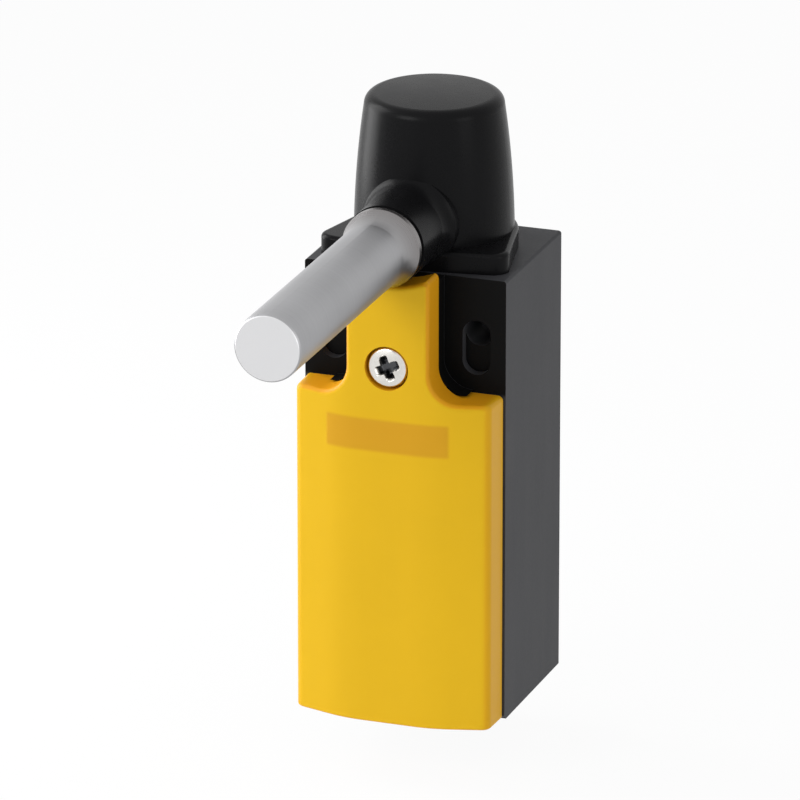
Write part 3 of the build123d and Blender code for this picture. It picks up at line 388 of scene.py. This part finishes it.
class Screw:
    """A screw with a cross recess, its axis on Z and its head's seat at 0.

    head, shank and root are radii. arm, width and depth belong to the recess, plain to the shank
    above the thread, crown and edge to the head's top.
    """

    def __init__(
        self, head, height, shank, root, pitch, length, plain, arm, width, depth, crown=0.0, edge=0.0003
    ):
        self.head = head
        self.height = height
        self.crown = crown
        self.edge = edge
        self.shank = shank
        self.root = root
        self.pitch = pitch
        self.length = length
        self.plain = plain
        self.arm = arm
        self.width = width
        self.depth = depth

    def loops(self, tilt, segments):
        """Closed loops of points from the tip up to the middle of the head."""
        angles = [tau * index / segments for index in range(segments)]
        found = []
        tip = -self.length
        threaded = self.length - self.plain
        steps = max(2, int(threaded / self.pitch * 8))
        found.append([(0.55 * self.root * cos(a), 0.55 * self.root * sin(a), tip) for a in angles])
        for index in range(steps + 1):
            z = tip + threaded * index / steps
            start = smooth_rise(z - tip, 0.0, self.pitch * 1.4)
            taper = min(start, smooth_rise(-self.plain - z, 0.0, self.pitch))
            inner = self.root - 0.12 * self.root * (1.0 - smooth_rise(z - tip, 0.0, self.pitch))
            loop = []
            for a in angles:
                phase = (z / self.pitch - a / tau) % 1.0
                ridge = max(0.0, 1.0 - abs(phase - 0.5) * 2.6)
                radius = inner + (self.shank - self.root) * ridge * taper
                loop.append((radius * cos(a), radius * sin(a), z))
            found.append(loop)
        found.append([(self.root * cos(a), self.root * sin(a), -self.edge * 0.5) for a in angles])
        for radius, z in ((self.shank, 0.0), (self.head - self.edge, 0.0), (self.head, self.edge)):
            found.append([(radius * cos(a), radius * sin(a), z) for a in angles])
        shoulder = self.height - self.edge
        found.append([(self.head * cos(a), self.head * sin(a), shoulder) for a in angles])
        top_rings = 26
        for index in range(1, 4):
            turn = index * pi / 8
            radius = self.head - self.edge * (1.0 - cos(turn))
            z = shoulder + self.edge * sin(turn)
            found.append([(radius * cos(a), radius * sin(a), z) for a in angles])
        rim = self.head - self.edge
        for index in range(top_rings + 1):
            radius = rim * (1.0 - index / (top_rings + 0.6))
            dome = self.height + self.crown * (1.0 - (radius / rim) ** 2)
            loop = []
            for a in angles:
                x, y = radius * cos(a), radius * sin(a)
                share = cross_depth(x, y, self.arm, self.width, tilt)
                loop.append((x, y, dome - self.depth * share))
            found.append(loop)
        return found

    def build(self, places, direction, segments=64):
        """A function that makes the screw at each place, its head towards the direction."""
        turn = Vector((0, 0, 1)).rotation_difference(Vector(direction)).to_matrix().to_4x4()

        def make(bm):
            for index, place in enumerate(places):
                there = Matrix.Translation(place) @ turn
                tilt = radians(23 + 67 * index)
                loops = [[there @ Vector(p) for p in loop] for loop in self.loops(tilt, segments)]
                rings(bm, loops)

        return make


class Spring:
    """A compression spring on the Z axis with closed ends, in the box of its CAD node."""

    def __init__(self, node, wire, turns):
        self.low, self.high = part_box(node)
        self.wire = wire
        self.radius = (self.high.x - self.low.x) / 2 - wire
        self.turns = turns

    def height(self, share):
        """Height of the wire's middle: the first and last turns lie flat, the rest climb evenly."""
        closed = 1.0 / (self.turns + 2.0)
        flat = 2.05 * self.wire
        reach = self.high.z - self.low.z - 2 * self.wire
        if share < closed:
            return flat * share / closed
        if share > 1.0 - closed:
            return reach - flat * (1.0 - share) / closed
        return flat + (reach - 2 * flat) * (share - closed) / (1.0 - 2 * closed)

    def build(self, bm, around=28, section=12):
        """The wire's round sections, one after the other along the coil."""
        middle = (self.low + self.high) / 2
        steps = int((self.turns + 2) * around)
        loops = []
        for index in range(steps + 1):
            share = index / steps
            angle = tau * (self.turns + 2) * share
            z = self.low.z + self.wire + self.height(share)
            loop = []
            for part in range(section):
                swing = tau * part / section
                radius = self.radius + self.wire * cos(swing)
                x = middle.x + radius * cos(angle)
                y = middle.y + radius * sin(angle)
                loop.append(Vector((x, y, z + self.wire * sin(swing))))
            loops.append(loop)
        rings(bm, loops)


class EntryThread:
    """Raised ridge of the thread in the cable entry, its foot sunk in the wall of the bore."""

    sunk = 0.00012

    def __init__(self, bore, ridge, pitch, start, end):
        self.bore = bore
        self.ridge = ridge
        self.pitch = pitch
        self.start = start
        self.end = end

    def build(self, bm, around=96):
        turns = (self.end - self.start) / self.pitch
        steps = int(turns * around)
        foot = self.bore + self.sunk
        half = self.pitch * 0.36
        flat = self.pitch * 0.07
        loops = []
        for index in range(steps + 1):
            share = index / steps
            angle = tau * turns * share
            middle = self.start + (self.end - self.start) * share
            fade = min(smooth_rise(share, 0.0, 0.06), smooth_rise(share, 1.0, 0.94))
            crest = self.bore - self.ridge * (0.15 + 0.85 * fade)
            loop = []
            for radius, rise in ((foot, -half), (crest, -flat), (crest, flat), (foot, half)):
                loop.append(Vector((radius * cos(angle), radius * sin(angle), middle + rise)))
            loops.append(loop)
        rings(bm, loops)


def node_middle(name):
    """Middle of a node's box."""
    low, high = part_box(name)
    return (low + high) / 2


class StudioSettings(bpy.types.PropertyGroup):
    """Camera, floor and lamps"""

    azimuth: FloatProperty(
        name="Azimuth",
        description="Camera's turn to the right of the front",
        default=radians(19.93),
        subtype="ANGLE",
    )
    elevation: FloatProperty(
        name="Elevation", description="Camera's height above level", default=radians(20.26), subtype="ANGLE"
    )
    distance: length_property("Distance", "From the camera to the body", 1.3)
    lens: FloatProperty(
        name="Lens", description="Focal length in millimetres on a 36 mm sensor", default=400.5
    )
    pivot: FloatVectorProperty(
        name="Pivot",
        description="Point that the camera circles",
        default=(0.0, -0.0125, 0.034),
        unit="LENGTH",
    )
    aim: FloatVectorProperty(
        name="Aim",
        description="Point in the middle of the picture",
        default=(-0.00226, -0.00845, 0.0464),
        unit="LENGTH",
    )
    floor_colour: colour_property("Floor", "Pale studio floor", (0.90, 0.90, 0.90))
    floor_drop: length_property("Floor height", "Clear of the cover when it hangs open", -0.0088)
    floor_glow: share_property("Floor glow", "Plain white in the floor that the camera sees", 0.94)
    ambient: FloatProperty(
        name="Ambient", description="Strength of the room's light", default=0.50, min=0.0
    )
    key_power: power_property("Key", "Front left lamp", 4.9)
    fill_power: power_property("Fill", "Right lamp", 1.2)
    side_power: power_property("Side", "Left softbox", 0.62)


class PlasticSettings(bpy.types.PropertyGroup):
    """Colours and sizes of the moulded pieces"""

    yellow: colour_property("Cover", "Yellow of the cover", (0.82, 0.488, 0.010))
    # Painted shade for the cover's edges and bevels that turn away from the front
    edge_shade: colour_property("Cover edges", "Deeper tone of the cover's edges", (0.80, 0.360, 0.008))
    side_fade: share_property("Side fade", "How much of that tone is left off the cover's sides", 0.5)
    label_tone: colour_property("Label place", "Worn tone of the bare label place", (0.69, 0.335, 0.014))
    label_low: corner_property(
        "Label low", "Lower left corner of the bare label place, X and Z", (-0.0095, 0.0426)
    )
    label_high: corner_property(
        "Label high", "Upper right corner of the bare label place, X and Z", (0.0093, 0.0475)
    )
    entry_bore: length_property("Entry", "Radius of the bore of the cable entry", 0.00919)
    entry_ridge: length_property("Thread", "How far its thread's ridge stands up", 0.00032)
    entry_pitch: length_property("Pitch", "Pitch of its thread", 0.0015)
    entry_length: length_property("Depth", "Length of its bore", 0.009)
    grey: colour_property("Body", "Dark grey of the body", (0.056, 0.056, 0.060))
    # Painted shade: near black given to the front lands beside the neck
    land_shade: colour_property("Lands", "Near black of the body's front lands", (0.004, 0.004, 0.004))
    black: colour_property("Head", "Black of the head", (0.0065, 0.0065, 0.007))
    block: colour_property("Insert", "Grey of the contact insert", (0.16, 0.165, 0.17))
    smoke: colour_property("Insert front", "Smoke grey of the insert's front", (0.03, 0.032, 0.035))
    white: colour_property("White parts", "Off-white of the carrier and the retainer", (0.72, 0.72, 0.69))
    acetal: colour_property("Cam", "Natural acetal of the cam", (0.66, 0.63, 0.54))


class MetalSettings(bpy.types.PropertyGroup):
    """Colours and sizes of the metal pieces"""

    steel: colour_property("Shaft", "Ground steel", (0.36, 0.36, 0.37))
    # Painted shade: darker steel near the head, where the collar lies in shade
    collar_shade_steel: colour_property("Collar", "Darker steel of the polished collar", (0.19, 0.176, 0.172))
    collar_place: length_property("Collar's start", "From the shaft's middle to its polished end", 0.0)
    collar_fade: length_property("Collar's fade", "Length over which the polish comes in", 0.008)
    faced_steel: colour_property("Shaft's end", "Freshly faced steel", (0.70, 0.70, 0.71))
    zinc: colour_property("Screws", "Bright zinc plating", (0.76, 0.74, 0.70))
    spring: colour_property("Springs", "Drawn spring steel", (0.42, 0.42, 0.43))
    brass: colour_property("Brass", "Plain brass", (0.62, 0.43, 0.16))
    bronze: colour_property("Bush", "Sintered bronze", (0.38, 0.22, 0.09))
    copper: colour_property("Bridges", "Copper alloy", (0.66, 0.33, 0.17))
    plunger_wire: length_property("Plunger spring", "Half the wire's thickness", 0.0003)
    carrier_wire: length_property("Carrier spring", "Half the wire's thickness", 0.00022)
    plunger_travel: length_property("Travel", "How far the plunger and the carrier go down", 0.0026)
    spring_turns: FloatProperty(name="Turns", description="Open turns of those springs", default=4.5)
    screw_segments: IntProperty(
        name="Segments", description="Segments round a screw", default=72, min=24
    )


class SWITCH_OT_stage(bpy.types.Operator):
    """Camera, floor, world and lamps"""

    bl_idname = "switch.stage"
    bl_label = "Studio"

    def execute(self, context):
        settings = context.scene.switch_studio
        scene = context.scene
        scene.view_settings.view_transform = "Standard"
        swing = Vector(
            (
                sin(settings.azimuth) * cos(settings.elevation),
                -cos(settings.azimuth) * cos(settings.elevation),
                sin(settings.elevation),
            )
        )
        lens = bpy.data.cameras.new("camera")
        lens.sensor_fit = "HORIZONTAL"
        lens.sensor_width = 36.0
        lens.lens = settings.lens
        lens.clip_start = 0.05
        lens.clip_end = 50.0
        camera = bpy.data.objects.new("camera", lens)
        camera.location = Vector(settings.pivot) + settings.distance * swing
        look = Vector(settings.aim) - camera.location
        camera.rotation_euler = look.to_track_quat("-Z", "Y").to_euler()
        scene.collection.objects.link(camera)
        scene.camera = camera
        self.light_room(scene, settings)
        self.lay_floor(scene, settings)
        self.hang_lamps(scene, settings)
        return {"FINISHED"}

    def light_room(self, scene, settings):
        """The room's even light, behind a plain white backdrop."""
        shader = Shader("room", bpy.data.worlds.new("room"))
        room = shader.add("ShaderNodeBackground", None, Color=ROOM_LIGHT, Strength=settings.ambient)
        backdrop = shader.add("ShaderNodeBackground", None, Color=WHITE, Strength=1.0)
        mixed = shader.add("ShaderNodeMixShader", None, shader.seen(), room, backdrop)
        scene.world = shader.finish("ShaderNodeOutputWorld", mixed)

    def lay_floor(self, scene, settings):
        """A pale floor that takes the object's shadow and looks almost plain white."""
        shader = Shader("studio_floor")
        point = shader.place()[0]
        grain = shader.noise(point, 240.0, 4.0)
        tint = shader.mix(grain, scaled(settings.floor_colour, 0.985), scaled(settings.floor_colour, 1.015))
        paper = shader.add("ShaderNodeBsdfDiffuse", None, Color=tint)
        glow = shader.add("ShaderNodeEmission", None, Color=WHITE, Strength=1.0)
        seen = shader.seen() * settings.floor_glow
        mixed = shader.add("ShaderNodeMixShader", None, seen, paper, glow)
        material = shader.finish("ShaderNodeOutputMaterial", mixed)
        bm = bmesh.new()
        bmesh.ops.create_circle(bm, cap_ends=True, radius=3.0, segments=96)
        mesh = bpy.data.meshes.new("floor")
        bm.to_mesh(mesh)
        bm.free()
        mesh.materials.append(material)
        ground = bpy.data.objects.new("floor", mesh)
        ground.location.z = settings.floor_drop
        scene.collection.objects.link(ground)

    def hang_lamps(self, scene, settings):
        """Each lamp by its name, place, width, height and power."""
        lamps = (
            ("key_lamp", (-0.50, -0.95, 0.62), 0.55, 0.55, settings.key_power),
            ("fill_lamp", (0.95, -0.35, 0.30), 0.40, 0.60, settings.fill_power),
            ("side_lamp", (-0.2305, 0.016, 0.13), 0.14, 0.26, settings.side_power),
        )
        target = Vector((0.0, -0.01, 0.05))
        for name, place, width, height, power in lamps:
            light = bpy.data.lights.new(name, "AREA")
            light.shape = "RECTANGLE"
            light.size = width
            light.size_y = height
            light.energy = power
            lamp = bpy.data.objects.new(name, light)
            lamp.location = place
            lamp.rotation_euler = (target - Vector(place)).to_track_quat("-Z", "Y").to_euler()
            scene.collection.objects.link(lamp)


class SWITCH_OT_base(bpy.types.Operator):
    """Moulded body, with the thread of its cable entry"""

    bl_idname = "switch.base"
    bl_label = "Base"

    def execute(self, context):
        plastic = context.scene.switch_plastic
        shader = Shader("body_plastic")
        point, x, y, z = shader.place()
        tint, gloss, normal = moulded_plastic(shader, plastic.grey, 0.46, 2300.0, 0.00003, point)
        # Dust and shadow between the turns of the thread in the cable entry
        reach = (x * x + y * y) ** 0.5
        wall = plastic.entry_bore
        top = plastic.entry_length
        bore = reach.step(wall + 0.00026, wall + 0.00011)
        bore = bore * z.step(top - 0.00005, top - 0.0002) * z.step(0.0001, 0.0004)
        shaded = shader.mix(bore * 0.6, tint, scaled(plastic.grey, 0.35))
        # Painted shade: the front lands beside the neck, of the same plastic as the grey sides, are made
        # near black
        front = shader.facing(1) * y.step(-0.0085, -0.0095)
        lands = front.high(y.step(-0.0124, -0.0127)) * z.step(0.0500, 0.0508)
        shaded = shader.mix(lands, shaded, plastic.land_shade)
        dress(["housing_base"], shader.surface(shaded, gloss, normal, Specular_IOR_Level=0.07))
        thread = EntryThread(wall, plastic.entry_ridge, plastic.entry_pitch, 0.0011, top - 0.0006)
        ridge_plastic = plain_plastic("thread_plastic", plastic.grey, 0.46, 2300.0)
        mesh_piece("entry_thread", "housing", thread.build, ridge_plastic)
        return {"FINISHED"}


class SWITCH_OT_cover(bpy.types.Operator):
    """Yellow cover with its bare label place"""

    bl_idname = "switch.cover"
    bl_label = "Cover"

    def execute(self, context):
        plastic = context.scene.switch_plastic
        shader = Shader("cover_plastic")
        point, x, y, z = shader.place()
        tint, gloss, normal = moulded_plastic(shader, plastic.yellow, 0.42, 2500.0, 0.00002, point, 0.015)
        front = y.step(-0.0150, -0.0165)
        field = box_mask(x, z, plastic.label_low, plastic.label_high, 0.00035) * front
        # Painted shade: surfaces turned away from the front get a deeper orange tone, the outer sides less
        # so
        outer = abs(x).step(0.0134, 0.0146)
        edges = (1.0 - shader.facing(1, 0.72, 0.96)) * (1.0 - outer * plastic.side_fade)
        tint = shader.mix(edges, tint, plastic.edge_shade)
        fade = shader.noise(point, 90.0, 2.0)
        warm = shader.mix(field * (0.78 + fade * 0.12), tint, plastic.label_tone)
        worn = gloss + field * 0.10
        normal = shader.bump(field, 0.00004, 0.6, normal)
        dress(["front_cover"], shader.surface(warm, worn, normal, Specular_IOR_Level=0.15))
        return {"FINISHED"}


class SWITCH_OT_head(bpy.types.Operator):
    """Round head and its flange"""

    bl_idname = "switch.head"
    bl_label = "Head"

    def execute(self, context):
        plastic = context.scene.switch_plastic
        satin = plain_plastic("head_plastic", plastic.black, 0.28, 3200.0, 0.00001, specular=0.07)
        dress(["head_housing"], satin)
        return {"FINISHED"}


class SWITCH_OT_shaft(bpy.types.Operator):
    """Solid shaft with its bearings, clip, cam and pin"""

    bl_idname = "switch.shaft"
    bl_label = "Shaft"

    def execute(self, context):
        metal = context.scene.switch_metal
        plastic = context.scene.switch_plastic
        axis_point = node_middle("shaft")
        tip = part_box("shaft")[0].y
        faced = (metal.faced_steel, tip + 0.0001)
        start = axis_point.y + metal.collar_place
        # Painted shade and a smoother finish on the collar near the head
        polished_and_shaded = (metal.collar_shade_steel, start, start + metal.collar_fade)
        ground = turned_metal(
            "ground_steel", metal.steel, 0.40, 1, axis_point, faced=faced, polished_and_shaded=polished_and_shaded
        )
        dress(["shaft"], ground)
        sintered = turned_metal("sintered_bronze", metal.bronze, 0.48, 1, axis_point, pitch=0.0005)
        dress(["shaft_bush"], sintered)
        dress(["shaft_clip", "cam_pin"], plated_metal("clip_steel", metal.spring, 0.34))
        dress(["shaft_seal"], soft_rubber("lip_rubber", LIP_RUBBER))
        dress(["cam"], plain_plastic("cam_acetal", plastic.acetal, 0.40))
        return {"FINISHED"}


class SWITCH_OT_plunger(bpy.types.Operator):
    """Plunger, its guide and its spring, with the rings that keep the head tight"""

    bl_idname = "switch.plunger"
    bl_label = "Plunger"

    def execute(self, context):
        metal = context.scene.switch_metal
        plastic = context.scene.switch_plastic
        middle = node_middle("head_plunger")
        plunger_steel = turned_metal("plunger_steel", metal.steel, 0.30, 2, middle, pitch=0.0003)
        dress(["head_plunger"], plunger_steel)
        dress(["plunger_guide"], plain_plastic("guide_plastic", plastic.smoke, 0.42))
        drawn = plated_metal("spring_steel", metal.spring, 0.28)
        dress(["bridge_springs"], drawn)
        for node, joint, wire in (
            ("plunger_spring", "plunger_slide", metal.plunger_wire),
            ("carrier_spring", "carrier_slide", metal.carrier_wire),
        ):
            spring = Spring(node, wire, metal.spring_turns)
            name = node + "_detail"
            piece = mesh_piece(name, "housing", spring.build, drawn, [node])
            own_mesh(piece)
        rubber = soft_rubber("seal_rubber", SEAL_RUBBER)
        dress(["head_seal", "plunger_seal", "cover_gasket"], rubber)
        return {"FINISHED"}


class SWITCH_OT_contacts(bpy.types.Operator):
    """Contact insert with its carrier, bridges, strips and clamps"""

    bl_idname = "switch.contacts"
    bl_label = "Contacts"

    def execute(self, context):
        metal = context.scene.switch_metal
        plastic = context.scene.switch_plastic
        dress(["contact_block_body"], plain_plastic("insert_plastic", plastic.block, 0.48))
        dress(["contact_block_front"], plain_plastic("insert_front_plastic", plastic.smoke, 0.30))
        white = plain_plastic("white_plastic", plastic.white, 0.44)
        dress(["contact_carrier", "screw_retainer"], white)
        dress(["contact_bridges"], plated_metal("bridge_copper", metal.copper, 0.30))
        brass = plated_metal("plain_brass", metal.brass, 0.32)
        dress(["fixed_contacts", "threaded_insert"], brass)
        dress(["terminal_clamps"], plated_metal("clamp_zinc", metal.zinc, 0.30))
        return {"FINISHED"}


class SWITCH_OT_fasteners(bpy.types.Operator):
    """Cover screw, head screws, terminal screws and insert screws"""

    bl_idname = "switch.fasteners"
    bl_label = "Fasteners"

    def execute(self, context):
        metal = context.scene.switch_metal
        count = metal.screw_segments
        zinc = plated_metal("screw_zinc", metal.zinc, 0.24)
        low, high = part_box("cover_screw")
        middle = (low + high) / 2
        seat = low.y + 0.00225
        # Place of the painted shade in the cover screw's cross recess
        recess = (middle, low.y + 0.0005, seat)
        bright = plated_metal("cover_screw_zinc", metal.zinc, 0.24, 0.12, recess)
        cover = Screw(
            head=0.00305,
            height=0.0019,
            shank=0.00192,
            root=0.0016,
            pitch=0.0007,
            length=high.y - seat,
            plain=0.0026,
            arm=0.0021,
            width=0.00115,
            depth=0.0015,
            crown=0.00032,
            edge=0.00045,
        )
        build = cover.build([(middle.x, seat, middle.z)], (0, -1, 0), count)
        mesh_piece("cover_screw_detail", "screw", build, bright, ["cover_screw"])
        # Radius and height of the head, radii of the shank and its root, plain length above the thread
        down = (0, 0, -1)
        forward = (0, -1, 0)
        for node, direction, head, height, shank, root, plain in (
            ("head_screws", down, 0.0022, 0.0016, 0.00125, 0.00105, 0.006),
            ("terminal_screws", forward, 0.0020, 0.0019, 0.0014, 0.00118, 0.0004),
            ("block_screws", forward, 0.0021, 0.0016, 0.0013, 0.00108, 0.0025),
        ):
            self.add_row(node, direction, head, height, shank, root, plain, zinc, count)
        return {"FINISHED"}

    def add_row(self, node, direction, head, height, shank, root, plain, material, count):
        """Detailed screws at the solids of a node, with the sizes of its solids."""
        islands = loose_boxes(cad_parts[node].data)
        axis = 2 if direction[2] else 1
        places = []
        for low, high in islands:
            place = (low + high) / 2
            place[axis] = low[axis] + height
            places.append(place)
        length = islands[0][1][axis] - islands[0][0][axis] - height
        screw = Screw(
            head=head,
            height=height,
            shank=shank,
            root=root,
            pitch=0.0006,
            length=length,
            plain=plain,
            arm=head * 0.62,
            width=0.0007,
            depth=height * 0.55,
        )
        build = screw.build(places, direction, count)
        mesh_piece(node + "_detail", "housing", build, material, [node])


def loose_boxes(mesh):
    """Boxes of a mesh's separate solids, told apart by the edges that join their corners."""
    bm = bmesh.new()
    bm.from_mesh(mesh)
    bmesh.ops.remove_doubles(bm, verts=bm.verts, dist=1e-6)
    seen = set()
    boxes = []
    for start in bm.verts:
        if start in seen:
            continue
        stack = [start]
        seen.add(start)
        low = start.co.copy()
        high = start.co.copy()
        while stack:
            vert = stack.pop()
            for index in range(3):
                low[index] = min(low[index], vert.co[index])
                high[index] = max(high[index], vert.co[index])
            for edge in vert.link_edges:
                other = edge.other_vert(vert)
                if other not in seen:
                    seen.add(other)
                    stack.append(other)
        boxes.append((low, high))
    bm.free()
    return boxes


class SWITCH_PT_panel(bpy.types.Panel):
    """Lists the switch's pieces"""

    bl_idname = "SWITCH_PT_panel"
    bl_label = "Safety hinge switch"
    bl_space_type = "VIEW_3D"
    bl_region_type = "UI"
    bl_category = "Switch"

    def draw(self, context):
        layout = self.layout
        for operator in OPERATORS:
            layout.operator(operator.bl_idname)
        for group in ("switch_studio", "switch_plastic", "switch_metal"):
            settings = getattr(context.scene, group)
            box = layout.box()
            for key in settings.__annotations__:
                box.prop(settings, key)


OPERATORS = (
    SWITCH_OT_stage,
    SWITCH_OT_base,
    SWITCH_OT_cover,
    SWITCH_OT_head,
    SWITCH_OT_shaft,
    SWITCH_OT_plunger,
    SWITCH_OT_contacts,
    SWITCH_OT_fasteners,
)
SETTINGS = (StudioSettings, PlasticSettings, MetalSettings)


def register():
    for item in (*SETTINGS, *OPERATORS, SWITCH_PT_panel):
        bpy.utils.register_class(item)
    bpy.types.Scene.switch_studio = PointerProperty(type=StudioSettings)
    bpy.types.Scene.switch_plastic = PointerProperty(type=PlasticSettings)
    bpy.types.Scene.switch_metal = PointerProperty(type=MetalSettings)


def unregister():
    del bpy.types.Scene.switch_studio
    del bpy.types.Scene.switch_plastic
    del bpy.types.Scene.switch_metal
    for item in reversed((*SETTINGS, *OPERATORS, SWITCH_PT_panel)):
        bpy.utils.unregister_class(item)


def main():
    register()
    bpy.ops.switch.stage()
    bpy.ops.switch.base()
    bpy.ops.switch.cover()
    bpy.ops.switch.head()
    bpy.ops.switch.shaft()
    bpy.ops.switch.plunger()
    bpy.ops.switch.contacts()
    bpy.ops.switch.fasteners()


if __name__ == "__main__":
    main()
